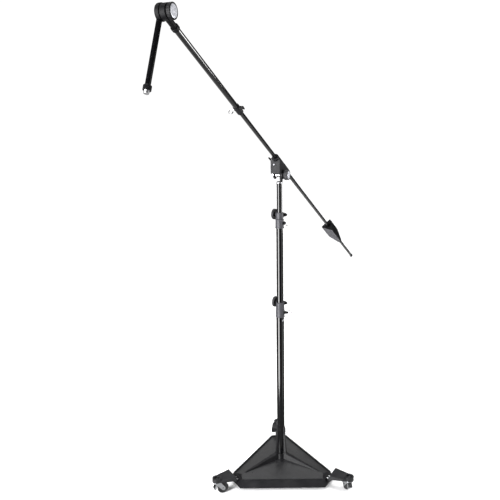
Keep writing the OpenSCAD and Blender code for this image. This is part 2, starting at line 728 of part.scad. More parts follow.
module head_neck() {
    color(dark) difference() {
        union() {
            on_head(housing_left) rotate_extrude() polygon([[0, 0], [head_r - 2.5, 0], [head_r - 1.5, 1],
                [head_r - 1.5, 16.4], [head_r - 2.5, 17.4], [0, 17.4]]);
            boom_frame() rotate([-90, 0, 0]) translate([0, 0, 8 - head_t]) {
                cylinder(r = front_d / 2 - 0.2, h = ring_t + head_t - 8);
                cylinder(r = front_d / 2 - 1.2, h = ring_t + head_t + 20);
            }
        }
        on_head(housing_left - 1) cylinder(r = head_bolt_r + fit, h = 20);
    }
}

module head_ring() {
    color(dark) boom_frame() rotate([-90, 0, 0]) translate([0, 0, ring_t - 4]) difference() {
        rotate_extrude() polygon([[0, 0], [11, 0], [12, 1], [12, 12], [11, 13], [0, 13]]);
        translate([0, 0, -1]) cylinder(r = front_d / 2 + 0.03, h = 30);
    }
}

module head_bolt() {
    color(chrome) on_head(drum_left + 6.5) {
        cylinder(r = head_bolt_r, h = head_knob_x + 9 - drum_left - 6.5);
        cylinder(r = 9, h = 3, $fn = 6);
    }
}

module head_washer() {
    color(grey) on_head(drum_right + 0.1) difference() {
        cylinder(r = 14, h = housing_left - drum_right - 0.2);
        translate([0, 0, -1]) cylinder(r = head_bolt_r + fit, h = 4);
    }
}

module head_drum() {
    color(dark) difference() {
        on_head(drum_left) rotate_extrude($fn = 72) polygon([[0, 0.8], [7, 0.8], [8, 0], [head_r - 5, 0],
            [head_r - 2, 1], [head_r - 0.5, 3], [head_r, 5.5], [head_r, 14], [head_r - 1, 15], [0, 15]]);
        on_head(drum_left + 6) cylinder(r = 9.1, h = 3.8);
        on_head(drum_left + 6) cylinder(r = head_bolt_r + fit, h = 20);
        on_head(drum_left - 1) cylinder(r = 2.5, h = 9);
        on_drop() translate([0, 0, 13.5]) cylinder(r = 5.53, h = 40);
        on_drop() translate([0, 0, head_r - 2]) cylinder(r = drop_r + 0.03, h = 40);
    }
}

module head_screw() {
    color(chrome) on_head(drum_left - 2) {
        translate([0, 0, 2]) cylinder(r = 2.45, h = 5);
        rotate_extrude() polygon([[0, 0], [2.5, 0.3], [5, 1.6], [5.4, 2.7], [0, 2.7]]);
    }
}

module head_knob() {
    r = head_r - 1.5;
    color(dark) on_head(head_knob_x) difference() {
        rotate_extrude($fn = 72) polygon([[0, 0], [15, 0], [16, 1], [r - 1, 1.5], [r, 2.5], [r, 12], [r - 1, 14],
            [r - 2, 14], [r - 2.4, 12.6], [0, 12.6]]);
        translate([0, 0, -1]) cylinder(r = head_bolt_r + fit, h = 11);
        for (a = [0:20:340]) rotate([0, 0, a]) translate([r + 1.6, 0, -1]) cylinder(r = 2.2, h = 30, $fn = 24);
    }
}

module head_knob_cap() color(silver) on_head(head_knob_x + 12.65) knob_cap(head_r - 4.1);

// ---- drop arm ----
ring_len = 15;
stud_len = 9;
module drop_arm() {
    color(dark) on_drop() difference() {
        union() {
            translate([0, 0, 14]) cylinder(r = 5.5, h = 15);
            translate([0, 0, head_r - 1.9]) cylinder(r = drop_r, h = drop_len - stud_len - ring_len - head_r + 0.9);
        }
        translate([0, 0, head_r + 12]) cylinder(r = drop_r - 1.3, h = drop_len);
    }
}

// The stud's shoulder inside the lock ring is turned down to the thread's root
root_r = thread_d / 2 - 0.7;
module thread_stud() {
    start = drop_len - stud_len - ring_len;
    color(chrome) on_drop() {
        translate([0, 0, start - 31]) cylinder(r = drop_r - 1.35, h = 32);
        translate([0, 0, start - 0.6]) cylinder(r = root_r, h = ring_len + 1);
        translate([0, 0, drop_len - stud_len]) cylinder(r = thread_d / 2, h = stud_len - 1);
        translate([0, 0, drop_len - 1]) cylinder(r1 = thread_d / 2, r2 = thread_d / 2 - 1, h = 1);
    }
}

module lock_ring() {
    color(dark) on_drop() translate([0, 0, drop_len - stud_len - ring_len]) difference() {
        rotate_extrude() polygon([[0, 0], [11, 0], [12, 1], [12, ring_len - 1.3], [11, ring_len - 0.3],
            [0, ring_len - 0.3]]);
        translate([0, 0, -1]) cylinder(r = root_r + fit, h = 40);
        for (a = [0:15:345]) rotate([0, 0, a]) translate([12.5, 0, 1.5]) cylinder(r = 1, h = ring_len - 3.3, $fn = 16);
    }
}

base_casting();
caster_arm_back();
caster_arm_left();
caster_arm_right();
arm_bolts();
mast_foot_plug();
mast_foot_bolt();
mast_lower_tube();
mast_rivet();
lower_clamp_collar();
lower_clamp_bolt();
lower_clamp_knob();
lower_hook_boss();
lower_cable_hook();
mast_middle_tube();
middle_guide_bush();
upper_clamp_collar();
upper_clamp_bolt();
upper_clamp_knob();
upper_hook_boss();
upper_cable_hook();
mast_top_tube();
top_guide_bush();
mast_top_cap();
swivel_yoke();
boom_clamp_body();
clamp_screw();
tilt_bolt();
tilt_spacer();
tilt_knob();
tilt_knob_cap();
boom_lock_screw();
boom_rear_tube();
boom_end_cap();
counterweight();
counterweight_screw();
boom_front_tube();
boom_joint_collar();
boom_joint_screw();
boom_cable_hook();
head_neck();
head_ring();
head_bolt();
head_washer();
head_drum();
head_screw();
head_knob();
head_knob_cap();
drop_arm();
lock_ring();
thread_stud();
caster_fork_back();
caster_fork_left();
caster_fork_right();
caster_wheel_back();
caster_wheel_left();
caster_wheel_right();
caster_brake_back();
caster_brake_left();
caster_brake_right();
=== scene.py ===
import bpy, bmesh, math
import numpy as np
from mathutils import Matrix, Vector


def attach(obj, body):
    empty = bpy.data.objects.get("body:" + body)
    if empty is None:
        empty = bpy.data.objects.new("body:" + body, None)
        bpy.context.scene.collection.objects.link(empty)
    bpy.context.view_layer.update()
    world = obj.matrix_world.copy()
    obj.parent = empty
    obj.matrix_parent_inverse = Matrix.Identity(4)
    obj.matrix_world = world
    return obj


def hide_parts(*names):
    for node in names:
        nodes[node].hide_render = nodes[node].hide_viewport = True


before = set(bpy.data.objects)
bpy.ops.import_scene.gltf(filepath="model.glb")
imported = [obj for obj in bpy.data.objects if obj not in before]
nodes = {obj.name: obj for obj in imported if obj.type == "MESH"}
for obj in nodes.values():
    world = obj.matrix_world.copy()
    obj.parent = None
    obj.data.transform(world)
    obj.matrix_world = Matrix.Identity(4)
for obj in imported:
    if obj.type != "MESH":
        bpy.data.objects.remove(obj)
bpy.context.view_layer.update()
scene = bpy.context.scene

# ---------------------------------------------------------------- dimensions, in mm and degrees
MM = 0.001
# Mast: clamps, their knobs and their cable hooks
LOWER_CLAMP_Z = 764
UPPER_CLAMP_Z = 1166
LOWER_KNOB_RISE = 60
UPPER_KNOB_RISE = 56
KNOB_DIR = 150
KNOB_OUT = 30
KNOB_OFF = 22
HOOK_DIR = -20
HOOK_RISE = 22
HOOK_OUT = 22.1
# Boom: its turn and slope, and distances along it from the mast
BOOM_PAN = 22.4
BOOM_RISE = 26
BOOM_LIFT = 52
TILT_Z = 1395
TILT_KNOB_OUT = 19
JOINT_HOOK_T = 466
JOINT_HOOK_OUT = 10.5
HEAD_T = 990
HEAD_LIFT = 12
HEAD_KNOB_OUT = 9.5
# Drop arm: side offset and turn from the head, then distances along it
DROP_OFF = 17.95
DROP_TURN = 183.2
RING_FROM = 212
STUD_R = 7.93
STUD_FROM = 211.5
STUD_TO = 235.9
STUD_PITCH = 25.4 / 27

# ---------------------------------------------------------------- materials


class Mat:
    """One Principled material, with helpers that add and join its nodes."""

    def __init__(self, name, base, rough, metal=0.0, ior=1.5, spec=0.5):
        self.m = bpy.data.materials.new(name)
        self.m.use_nodes = True
        self.t = self.m.node_tree
        self.b = self.t.nodes["Principled BSDF"]
        self.b.inputs["Base Color"].default_value = (*base, 1)
        self.b.inputs["Roughness"].default_value = rough
        self.b.inputs["Metallic"].default_value = metal
        self.b.inputs["IOR"].default_value = ior
        self.b.inputs["Specular IOR Level"].default_value = spec
        self.height = None
        tc = self.t.nodes.new("ShaderNodeTexCoord")
        self.obj = tc.outputs["Object"]
        self.uv = tc.outputs["UV"]
        self.nrm = tc.outputs["Normal"]

    def n(self, kind, **kw):
        nd = self.t.nodes.new(kind)
        for k, v in kw.items():
            setattr(nd, k, v)
        return nd

    def link(self, a, b):
        self.t.links.new(a, b)

    def mapped(self, src, scale):
        mp = self.n("ShaderNodeMapping")
        mp.inputs["Scale"].default_value = scale
        self.link(src, mp.inputs["Vector"])
        return mp.outputs["Vector"]

    def noise(self, scale, detail=3.0, rough=0.6, src=None):
        nz = self.n("ShaderNodeTexNoise")
        nz.inputs["Scale"].default_value = scale
        nz.inputs["Detail"].default_value = detail
        nz.inputs["Roughness"].default_value = rough
        self.link(src or self.obj, nz.inputs["Vector"])
        return nz.outputs["Fac"]

    def ramp(self, src, stops):
        r = self.n("ShaderNodeValToRGB")
        while len(r.color_ramp.elements) < len(stops):
            r.color_ramp.elements.new(0.5)
        for e, (p, c) in zip(r.color_ramp.elements, stops):
            e.position = p
            e.color = (c, c, c, 1) if isinstance(c, (int, float)) else (*c, 1)
        self.link(src, r.inputs["Fac"])
        return r.outputs["Color"]

    def mix(self, fac, a, b):
        mx = self.n("ShaderNodeMix", data_type="RGBA")
        for sock, val in ((mx.inputs["Factor"], fac), (mx.inputs["A"], a), (mx.inputs["B"], b)):
            if isinstance(val, (int, float)):
                sock.default_value = val
            elif isinstance(val, tuple):
                sock.default_value = (*val, 1)
            else:
                self.link(val, sock)
        return mx.outputs["Result"]

    def math(self, op, a, b=0.0):
        mt = self.n("ShaderNodeMath", operation=op)
        for i, v in enumerate((a, b)):
            if isinstance(v, (int, float)):
                mt.inputs[i].default_value = v
            else:
                self.link(v, mt.inputs[i])
        return mt.outputs["Value"]

    def color(self, out):
        self.link(out, self.b.inputs["Base Color"])

    def rough(self, out):
        self.link(out, self.b.inputs["Roughness"])

    def bump(self, height, dist, strength=1.0):
        bp = self.n("ShaderNodeBump")
        bp.inputs["Distance"].default_value = dist
        bp.inputs["Strength"].default_value = strength
        self.link(height, bp.inputs["Height"])
        if self.height is not None:
            self.link(self.height, bp.inputs["Normal"])
        self.height = bp.outputs["Normal"]
        self.link(self.height, self.b.inputs["Normal"])


def vary(m, base, spread, scale=60.0):
    """Cloudy colour variation about a base colour."""
    a = tuple(c * (1 - spread) for c in base)
    b = tuple(min(1, c * (1 + spread)) for c in base)
    return m.mix(m.ramp(m.noise(scale, 4), [(0.3, 0.0), (0.7, 1.0)]), a, b)


def gloss_black():
    m = Mat("gloss_black", (0.0015, 0.0015, 0.0018), 0.12, ior=1.45)
    col = vary(m, (0.0015, 0.0015, 0.0018), 0.25, 40)
    dust = m.ramp(m.noise(900, 5, 0.75), [(0.62, 0.0), (0.85, 1.0)])
    m.color(m.mix(m.math("MULTIPLY", dust, 0.10), col, (0.03, 0.03, 0.03)))
    m.rough(m.ramp(m.noise(25, 5, 0.7), [(0.3, 0.08), (0.75, 0.16)]))
    scr = m.noise(300, 2, 0.5, m.mapped(m.obj, (1, 1, 0.02)))
    m.bump(scr, 0.00002, 0.25)
    return m.m


def powder_black(name, base, rough, grain):
    m = Mat(name, base, rough)
    col = vary(m, base, 0.22, 30)
    speck = m.ramp(m.noise(grain * 0.6, 3, 0.8), [(0.6, 0.0), (0.8, 1.0)])
    m.color(m.mix(m.math("MULTIPLY", speck, 0.3), col, tuple(min(1, c * 2.3) for c in base)))
    m.rough(m.ramp(m.noise(18, 5, 0.65), [(0.3, rough - 0.06), (0.75, rough + 0.12)]))
    m.bump(m.noise(grain, 3, 0.7), 0.0002, 0.35)
    m.bump(m.noise(22, 3, 0.5), 0.0008, 0.25)
    return m.m


def cast_grey(name, base, rough, metal, spec=0.5):
    m = Mat(name, base, rough, metal=metal, spec=spec)
    m.color(vary(m, base, 0.15, 55))
    m.rough(m.ramp(m.noise(70, 5, 0.7), [(0.3, rough - 0.08), (0.75, rough + 0.1)]))
    m.bump(m.noise(1100, 3, 0.7), 0.00012, 0.35)
    return m.m


def chrome(name="chrome", base=(0.62, 0.63, 0.65), rough=0.12):
    m = Mat(name, base, rough, metal=1.0)
    m.color(vary(m, base, 0.07, 90))
    m.rough(m.ramp(m.noise(160, 5, 0.7), [(0.35, rough - 0.05), (0.8, rough + 0.12)]))
    m.bump(m.noise(60, 2, 0.5), 0.0002, 0.12)
    return m.m


def plastic(name, base, rough, spec=0.5):
    m = Mat(name, base, rough, spec=spec)
    m.color(vary(m, base, 0.2, 70))
    m.rough(m.ramp(m.noise(45, 4, 0.6), [(0.3, rough - 0.05), (0.75, rough + 0.1)]))
    m.bump(m.noise(1800, 2, 0.6), 0.00006, 0.4)
    return m.m


def rubber():
    m = Mat("rubber", (0.012, 0.012, 0.013), 0.6)
    m.color(vary(m, (0.013, 0.013, 0.014), 0.35, 120))
    m.rough(m.ramp(m.noise(90, 5, 0.7), [(0.3, 0.5), (0.8, 0.78)]))
    m.bump(m.noise(900, 4, 0.7), 0.0002, 0.5)
    return m.m


def painted_iron():
    """Black casting whose underside was left as a pale waffle from the mould."""
    m = Mat("iron_black", (0.002, 0.002, 0.0024), 0.5, spec=0.08)
    along, down = (0.3425, 0.8310, -0.4384), (-0.36, -0.32, -0.88)
    across = tuple(Vector(down).cross(Vector(along)).normalized())

    def dot(src, v):
        d = m.n("ShaderNodeVectorMath", operation="DOT_PRODUCT")
        m.link(src, d.inputs[0])
        d.inputs[1].default_value = v
        return d.outputs["Value"]

    under = m.ramp(dot(m.nrm, down), [(0.86, 0.0), (0.93, 1.0)])
    pitch = 2 * math.pi / 0.0065
    wave_along = m.math("SINE", m.math("MULTIPLY", dot(m.obj, along), pitch))
    wave_across = m.math("SINE", m.math("MULTIPLY", dot(m.obj, across), pitch))
    wave = m.math("ADD", m.math("MULTIPLY", wave_along, wave_across), 1.0)
    cell = m.ramp(m.math("MULTIPLY", wave, 0.5), [(0.40, 0.0), (0.62, 1.0)])
    pale = m.mix(cell, (0.008, 0.008, 0.01), vary(m, (0.11, 0.11, 0.122), 0.15, 90))
    m.color(m.mix(under, vary(m, (0.002, 0.002, 0.0024), 0.3, 45), pale))
    m.rough(m.ramp(m.noise(30, 5, 0.65), [(0.3, 0.38), (0.75, 0.56)]))
    m.bump(m.math("MULTIPLY", cell, under), 0.0006, 0.5)
    m.bump(m.noise(900, 3, 0.7), 0.0002, 0.3)
    return m.m


def spun():
    """Turned disc: fine concentric grooves along V of the piece's own UV, the radius in metres."""
    m = Mat("spun_silver", (0.6, 0.61, 0.64), 0.34, metal=0.35)
    sep = m.n("ShaderNodeSeparateXYZ")
    m.link(m.uv, sep.inputs[0])
    line = m.math("SINE", m.math("MULTIPLY", sep.outputs["Y"], 9000.0))
    com = m.n("ShaderNodeCombineXYZ")
    m.link(m.math("MULTIPLY", sep.outputs["Y"], 900.0), com.inputs[0])
    streak = m.noise(3.0, 3, 0.6, com.outputs[0])
    bright = m.ramp(streak, [(0.35, 0.0), (0.65, 1.0)])
    m.color(m.mix(bright, (0.50, 0.51, 0.55), (0.74, 0.75, 0.79)))
    m.rough(m.ramp(streak, [(0.3, 0.2), (0.7, 0.38)]))
    m.bump(line, 0.00003, 0.35)
    return m.m


MAT = {
    "tube": gloss_black(),
    "base": powder_black("powder_black", (0.0055, 0.0055, 0.0063), 0.32, 1400),
    "arm": powder_black("powder_arm", (0.008, 0.008, 0.0092), 0.36, 1500),
    "collar": cast_grey("collar_grey", (0.035, 0.035, 0.04), 0.42, 0.1, 0.3),
    "clamp": cast_grey("clamp_grey", (0.0065, 0.0065, 0.0075), 0.5, 0.0, 0.14),
    "head": cast_grey("head_black", (0.003, 0.003, 0.0035), 0.5, 0.0, 0.08),
    "chrome": chrome(),
    "zinc": chrome("zinc_bolt", (0.42, 0.42, 0.43), 0.28),
    "wire": chrome("steel_wire", (0.22, 0.22, 0.23), 0.22),
    "zinc_dark": chrome("zinc_dark", (0.16, 0.16, 0.17), 0.4),
    "knob": plastic("knob_black", (0.0025, 0.0025, 0.003), 0.42, 0.12),
    "knob_rim": plastic("knob_grey", (0.014, 0.014, 0.016), 0.42, 0.2),
    "guide": plastic("guide_grey", (0.08, 0.08, 0.085), 0.5),
    "vinyl": plastic("vinyl_black", (0.003, 0.003, 0.0035), 0.26, 0.35),
    "rubber": rubber(),
    "spun": spun(),
    "cap": cast_grey("cap_silver", (0.55, 0.55, 0.57), 0.3, 0.9),
    "iron": painted_iron(),
}


def set_mat(o, *mats):
    o.data.materials.clear()
    for m in mats:
        o.data.materials.append(MAT[m])


def soften(o, width, segments=2, angle=30):
    """Rounded edges on a CAD node, by modifiers only."""
    bv = o.modifiers.new("edge", "BEVEL")
    bv.width = width
    bv.segments = segments
    bv.limit_method = "ANGLE"
    bv.angle_limit = math.radians(angle)
    bv.harden_normals = True
    bv.use_clamp_overlap = True


# Material and edge radius in metres of each CAD node
LOOK = {
    "base_casting": ("base", 0.0014), "arm_bolts": ("zinc", 0.0003),
    "mast_foot_plug": ("guide", 0), "mast_foot_bolt": ("zinc", 0.0004),
    "mast_lower_tube": ("tube", 0), "mast_rivet": ("chrome", 0),
    "lower_clamp_collar": ("collar", 0.0005), "upper_clamp_collar": ("collar", 0.0005),
    "lower_clamp_bolt": ("knob", 0.0005), "upper_clamp_bolt": ("knob", 0.0005),
    "lower_clamp_knob": ("knob", 0.0004), "upper_clamp_knob": ("knob", 0.0004),
    "lower_hook_boss": ("vinyl", 0.0004), "upper_hook_boss": ("vinyl", 0.0004),
    "lower_cable_hook": ("wire", 0), "upper_cable_hook": ("wire", 0),
    "boom_cable_hook": ("wire", 0), "mast_middle_tube": ("tube", 0),
    "middle_guide_bush": ("guide", 0), "mast_top_tube": ("tube", 0),
    "top_guide_bush": ("guide", 0), "mast_top_cap": ("cap", 0.0003),
    "swivel_yoke": ("clamp", 0.0006), "boom_clamp_body": ("clamp", 0.0015),
    "clamp_screw": ("zinc_dark", 0), "tilt_bolt": ("chrome", 0.0003),
    "tilt_spacer": ("zinc", 0.0003), "tilt_knob": ("knob_rim", 0.0004),
    "tilt_knob_cap": ("spun", 0), "boom_lock_screw": ("knob", 0.0005),
    "boom_rear_tube": ("tube", 0), "boom_end_cap": ("vinyl", 0.0004),
    "counterweight": ("iron", 0.0015), "counterweight_screw": ("knob", 0.0006),
    "boom_front_tube": ("tube", 0), "boom_joint_collar": ("clamp", 0.0005),
    "boom_joint_screw": ("knob", 0.0005), "head_neck": ("head", 0.0006),
    "head_ring": ("knob", 0.0004), "head_bolt": ("zinc", 0), "head_washer": ("guide", 0),
    "head_drum": ("head", 0.0006), "head_screw": ("chrome", 0), "head_knob": ("knob", 0.0004),
    "head_knob_cap": ("spun", 0), "drop_arm": ("tube", 0), "lock_ring": ("knob", 0.0003),
    "thread_stud": ("zinc", 0),
}
for side in ("back", "left", "right"):
    LOOK["caster_arm_" + side] = ("arm", 0.0012)
    LOOK["caster_fork_" + side] = ("chrome", 0.0004)
    LOOK["caster_wheel_" + side] = ("rubber", 0.0003)
    LOOK["caster_brake_" + side] = ("chrome", 0.0005)
for name, (mat, bev) in LOOK.items():
    set_mat(nodes[name], mat)
    if bev:
        soften(nodes[name], bev)

# ---------------------------------------------------------------- shape helpers


def rot(axis, deg):
    return Matrix.Rotation(math.radians(deg), 4, axis)


def tr(x, y, z):
    return Matrix.Translation((x, y, z))


PAN = rot("Z", -BOOM_PAN)
BOOM = PAN @ tr(0, 0, TILT_Z + BOOM_LIFT) @ rot("X", -BOOM_RISE)
TILT = PAN @ tr(0, 0, TILT_Z) @ rot("Y", 90)
HEAD = BOOM @ tr(0, -HEAD_T, HEAD_LIFT)
DROP = HEAD @ tr(-DROP_OFF, 0, 0) @ rot("X", DROP_TURN)


def finish_mesh(name, verts, faces, frame_m, mats, uvs=None, body=None, replaces=(), slot=None,
                angle=35, mat_of=None):
    """Makes an object from points in millimetres in the given frame, and hangs it on a body."""
    me = bpy.data.meshes.new(name)
    pts = [tuple((frame_m @ Vector(v)) * MM) for v in verts]
    me.from_pydata(pts, [], faces)
    me.validate()
    if uvs is not None:
        layer = me.uv_layers.new(name="UVMap")
        for poly in me.polygons:
            for li in poly.loop_indices:
                layer.data[li].uv = uvs[me.loops[li].vertex_index]
    for m in mats:
        me.materials.append(MAT[m])
    if mat_of is not None:
        for i, poly in enumerate(me.polygons):
            poly.material_index = mat_of(i)
    o = bpy.data.objects.new(name, me)
    scene.collection.objects.link(o)
    bm = bmesh.new()
    bm.from_mesh(me)
    bmesh.ops.recalc_face_normals(bm, faces=bm.faces)
    bm.to_mesh(me)
    bm.free()
    me.polygons.foreach_set("use_smooth", [True] * len(me.polygons))
    me.set_sharp_from_angle(angle=math.radians(angle))
    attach(o, body)
    if replaces:
        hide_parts(*replaces)


def lathe(name, profile, frame_m, mats, segs, wobble=None, bands=None, **kw):
    """Revolves (radius, z) pairs about Z.

    wobble(angle, r, z) returns a new radius, and bands gives each ring's material.
    """
    verts, faces, uvs, ring_of = [], [], [], []
    rows = []
    for (r, z) in profile:
        if r < 1e-6:
            rows.append([len(verts)])
            verts.append((0, 0, z))
            uvs.append((0, 0))
        else:
            row = []
            for k in range(segs):
                a = 2 * math.pi * k / segs
                rr = wobble(a, r, z) if wobble else r
                row.append(len(verts))
                verts.append((rr * math.cos(a), rr * math.sin(a), z))
                uvs.append((k / segs, rr * MM))
            rows.append(row)
    for j in range(len(rows) - 1):
        a, b = rows[j], rows[j + 1]
        for k in range(segs):
            k2 = (k + 1) % segs
            if len(a) == 1 and len(b) == 1:
                continue
            if len(a) == 1:
                faces.append((a[0], b[k2], b[k]))
            elif len(b) == 1:
                faces.append((a[k], a[k2], b[0]))
            else:
                faces.append((a[k], a[k2], b[k2], b[k]))
            ring_of.append(j)
    mat_of = (lambda i: bands[ring_of[i]]) if bands else None
    finish_mesh(name, verts, faces, frame_m, mats, uvs=uvs, mat_of=mat_of, **kw)


def smooth_path(pts, steps):
    """Catmull-Rom points through pts."""
    out = []
    p = [Vector(q) for q in pts]
    ext = [p[0] * 2 - p[1]] + p + [p[-1] * 2 - p[-2]]
    for i in range(1, len(ext) - 2):
        a, b, c, d = ext[i - 1], ext[i], ext[i + 1], ext[i + 2]
        for s in range(steps):
            t = s / steps
            out.append(0.5 * ((2 * b) + (c - a) * t + (2 * a - 5 * b + 4 * c - d) * t * t
                              + (3 * b - a - 3 * c + d) * t ** 3))
    out.append(p[-1])
    return out


def sweep(name, pts, radii, frame_m, mats, sides, steps, **kw):
    """Round wire along smoothed points, with a radius for each given point and rounded ends."""
    path = smooth_path(pts, steps)
    n = len(path)
    rads = [np.interp(i / (n - 1) * (len(radii) - 1), range(len(radii)), radii) for i in range(n)]
    verts, faces = [], []
    t0 = (path[1] - path[0]).normalized()
    side = t0.orthogonal().normalized()
    rings = []
    for i, p in enumerate(path):
        t = (path[min(i + 1, n - 1)] - path[max(i - 1, 0)]).normalized()
        side = (side - t * side.dot(t)).normalized()
        up_ = t.cross(side)
        for scale, shift in ([(0.6, -0.5), (0.9, -0.2), (1, 0)] if i == 0 else
                             [(1, 0), (0.9, 0.2), (0.6, 0.5)] if i == n - 1 else [(1, 0)]):
            row = []
            for k in range(sides):
                a = 2 * math.pi * k / sides
                spoke = side * math.cos(a) + up_ * math.sin(a)
                row.append(len(verts))
                verts.append(tuple(p + t * shift * rads[i] + spoke * rads[i] * scale))
            rings.append(row)
    for a, b in zip(rings, rings[1:]):
        for k in range(sides):
            k2 = (k + 1) % sides
            faces.append((a[k], a[k2], b[k2], b[k]))
    faces.append(tuple(rings[0][::-1]))
    faces.append(tuple(rings[-1]))
    finish_mesh(name, verts, faces, frame_m, mats, angle=60, **kw)


# ---------------------------------------------------------------- hand knobs and discs


def flutes(count, depth, z0, z1, beyond, sharp):
    """Grooves round a rim, for lathe: they lie between z0 and z1 and outside radius beyond."""
    def f(a, r, z):
        if r <= beyond or z < z0 or z > z1:
            return r
        c = 0.5 + 0.5 * math.cos(a * count)
        return r - depth * c ** sharp
    return f


CLAMP_KNOB = [
    (0, 4.5), (6.5, 4.5), (7.5, 3.5), (7.5, 0), (9.5, 0), (9.5, 3.5), (10.5, 4.5), (18.0, 4.2),
    (19.2, 3.2), (19.8, 1.6), (20.6, 0.8), (22.0, 0.9), (23.2, 1.8), (23.8, 3.2), (24, 4.6),
    (24, 8.6), (23.6, 10), (22.6, 11.2), (20.6, 12.2), (17, 13), (12, 13.6), (6, 13.9), (0, 14)]
CLAMP_KNOB_BANDS = [0] * 10 + [1] * 6 + [0] * 6


def clamp_knob(body, z):
    frame_m = tr(0, 0, z) @ rot("Z", KNOB_DIR) @ tr(KNOB_OUT, -KNOB_OFF, 0) @ rot("Y", 90)
    lathe(body + "_shell", CLAMP_KNOB, frame_m, ["knob", "knob_rim"], segs=216,
          wobble=flutes(18, 0.9, 1.0, 11, 20, 3), bands=CLAMP_KNOB_BANDS, body=body,
          replaces=[body], slot="black_plastic")


def silver_disc(name, frame_m, r, body, node):
    """Slightly dished turned disc with a small raised centre and a rolled edge."""
    prof = [(0, 1.9), (r * 0.08, 1.9), (r * 0.12, 1.5), (r * 0.3, 1.45), (r * 0.62, 1.5),
            (r * 0.8, 1.6), (r * 0.92, 1.55), (r - 0.8, 1.3), (r - 0.25, 0.9), (r, 0.3), (r, 0)]
    lathe(name, prof, frame_m, ["spun"], segs=128, body=body, replaces=[node],
          slot="silver_disc")


clamp_knob("lower_clamp_knob", LOWER_CLAMP_Z + LOWER_KNOB_RISE)
clamp_knob("upper_clamp_knob", UPPER_CLAMP_Z + UPPER_KNOB_RISE)

TILT_KNOB = TILT @ tr(0, 0, TILT_KNOB_OUT)
TILT_KNOB_PROFILE = [
    (0, 0.2), (11.4, 0.2), (12, 0.8), (13, 5), (19.6, 6), (20.9, 6.8), (21.5, 8.5), (21.5, 12),
    (21.5, 16), (21.5, 20), (21.4, 22), (20.9, 23.3), (20.2, 23.9), (18, 24), (17.2, 23.8),
    (16.8, 23.2), (16.7, 22.5), (0, 22.5)]
silver_disc("tilt_knob_disc", TILT_KNOB @ tr(0, 0, 22.55), 16.6, "tilt_knob", "tilt_knob_cap")
lathe("tilt_knob_shell", TILT_KNOB_PROFILE, TILT_KNOB, ["knob_rim", "knob"], segs=320,
      wobble=flutes(40, 0.55, 7.2, 22.6, 21, 2), body="tilt_knob", replaces=["tilt_knob"],
      slot="black_plastic")

HEAD_KNOB = HEAD @ rot("Y", 90) @ tr(0, 0, HEAD_KNOB_OUT)
HEAD_KNOB_PROFILE = [
    (0, 0.2), (14.6, 0.2), (15.4, 0.7), (16, 1), (21.2, 1.4), (22.4, 1.9), (23, 3), (23, 5),
    (23, 8), (23, 11), (22.8, 12.4), (22.3, 13.4), (21.6, 13.9), (19.6, 13.9), (18.9, 13.3),
    (18.7, 12.6), (0, 12.6)]
silver_disc("head_knob_disc", HEAD_KNOB @ tr(0, 0, 12.65), 18.6, "head_knob", "head_knob_cap")
lathe("head_knob_shell", HEAD_KNOB_PROFILE, HEAD_KNOB, ["knob"], segs=288,
      wobble=flutes(36, 0.5, 2.2, 12.2, 22, 2), body="head_knob", replaces=["head_knob"],
      slot="black_plastic")

# ---------------------------------------------------------------- thread and lock ring


def thread(name, frame_m, r, z0, z1, pitch, depth, **kw):
    """Stud with a helical groove that runs out over the last 1.2 mm before its chamfered end."""
    rows_per_pitch, run_out = 6, 1.2
    rows = int((z1 - z0) / pitch * rows_per_pitch)

    def groove(a, rr, z):
        if rr < r - 0.01:
            return rr
        phase = (z / pitch - a / (2 * math.pi)) % 1.0
        cut = depth * (1 - abs(2 * phase - 1))
        edge = min(1.0, (z1 - z) / run_out)
        return r - cut - (1 - edge) * 0.9

    prof = [(r - 1.4, z0 - 0.1)]
    prof += [(r, z0 + (z1 - z0) * i / rows) for i in range(rows + 1)]
    prof += [(r - 2.2, z1), (r - 3.4, z1 - 0.1), (0, z1 - 0.1)]
    lathe(name, prof, frame_m, ["zinc"], segs=48, wobble=groove, angle=50, **kw)


thread("thread_stud_cut", DROP, STUD_R, STUD_FROM, STUD_TO, STUD_PITCH, 0.55,
       body="head_arm", replaces=["thread_stud"], slot="bright_steel")
RING_PROFILE = [
    (8.05, 0.1), (10.6, 0.1), (11.4, 0.4), (11.9, 1.2), (12, 2), (12, 5), (12, 9), (12, 13),
    (11.9, 13.8), (11.4, 14.6), (10.6, 14.9), (8.05, 14.9), (8.05, 0.1)]
lathe("lock_ring_shell", RING_PROFILE, DROP @ tr(0, 0, RING_FROM), ["knob"], segs=256,
      wobble=flutes(32, 0.45, 1.6, 13.4, 11.95, 2), body="lock_ring", replaces=["lock_ring"],
      slot="clamp_grey")

# ---------------------------------------------------------------- cable hooks


def hook(name, node, body, frame_m, shank, bend):
    """Bent wire with a dipped tip: out of its boss, round an open curl, in the frame's XZ plane."""
    def on_curl(a):
        turn = math.radians(a)
        return (shank + bend * math.cos(turn), 0, bend * math.sin(turn) - bend)

    pts = [(0, 0, 0), (shank * 0.5, 0, 0)] + [on_curl(a) for a in range(90, -151, -20)]
    sweep(name + "_wire", pts, [1.15] * len(pts), frame_m, ["wire"], body=body, replaces=[node],
          slot="bright_steel", sides=14, steps=4)
    tip = [on_curl(a) for a in (-138, -146, -154, -162, -174, -186)]
    sweep(name + "_tip", tip, [1.5, 1.8, 1.9, 1.9, 1.9, 1.7], frame_m, ["vinyl"], body=body,
          slot="bright_steel", sides=14, steps=4)


def mast_hook_frame(clamp_z):
    return tr(0, 0, clamp_z + HOOK_RISE) @ rot("Z", HOOK_DIR) @ tr(HOOK_OUT, 0, 0)


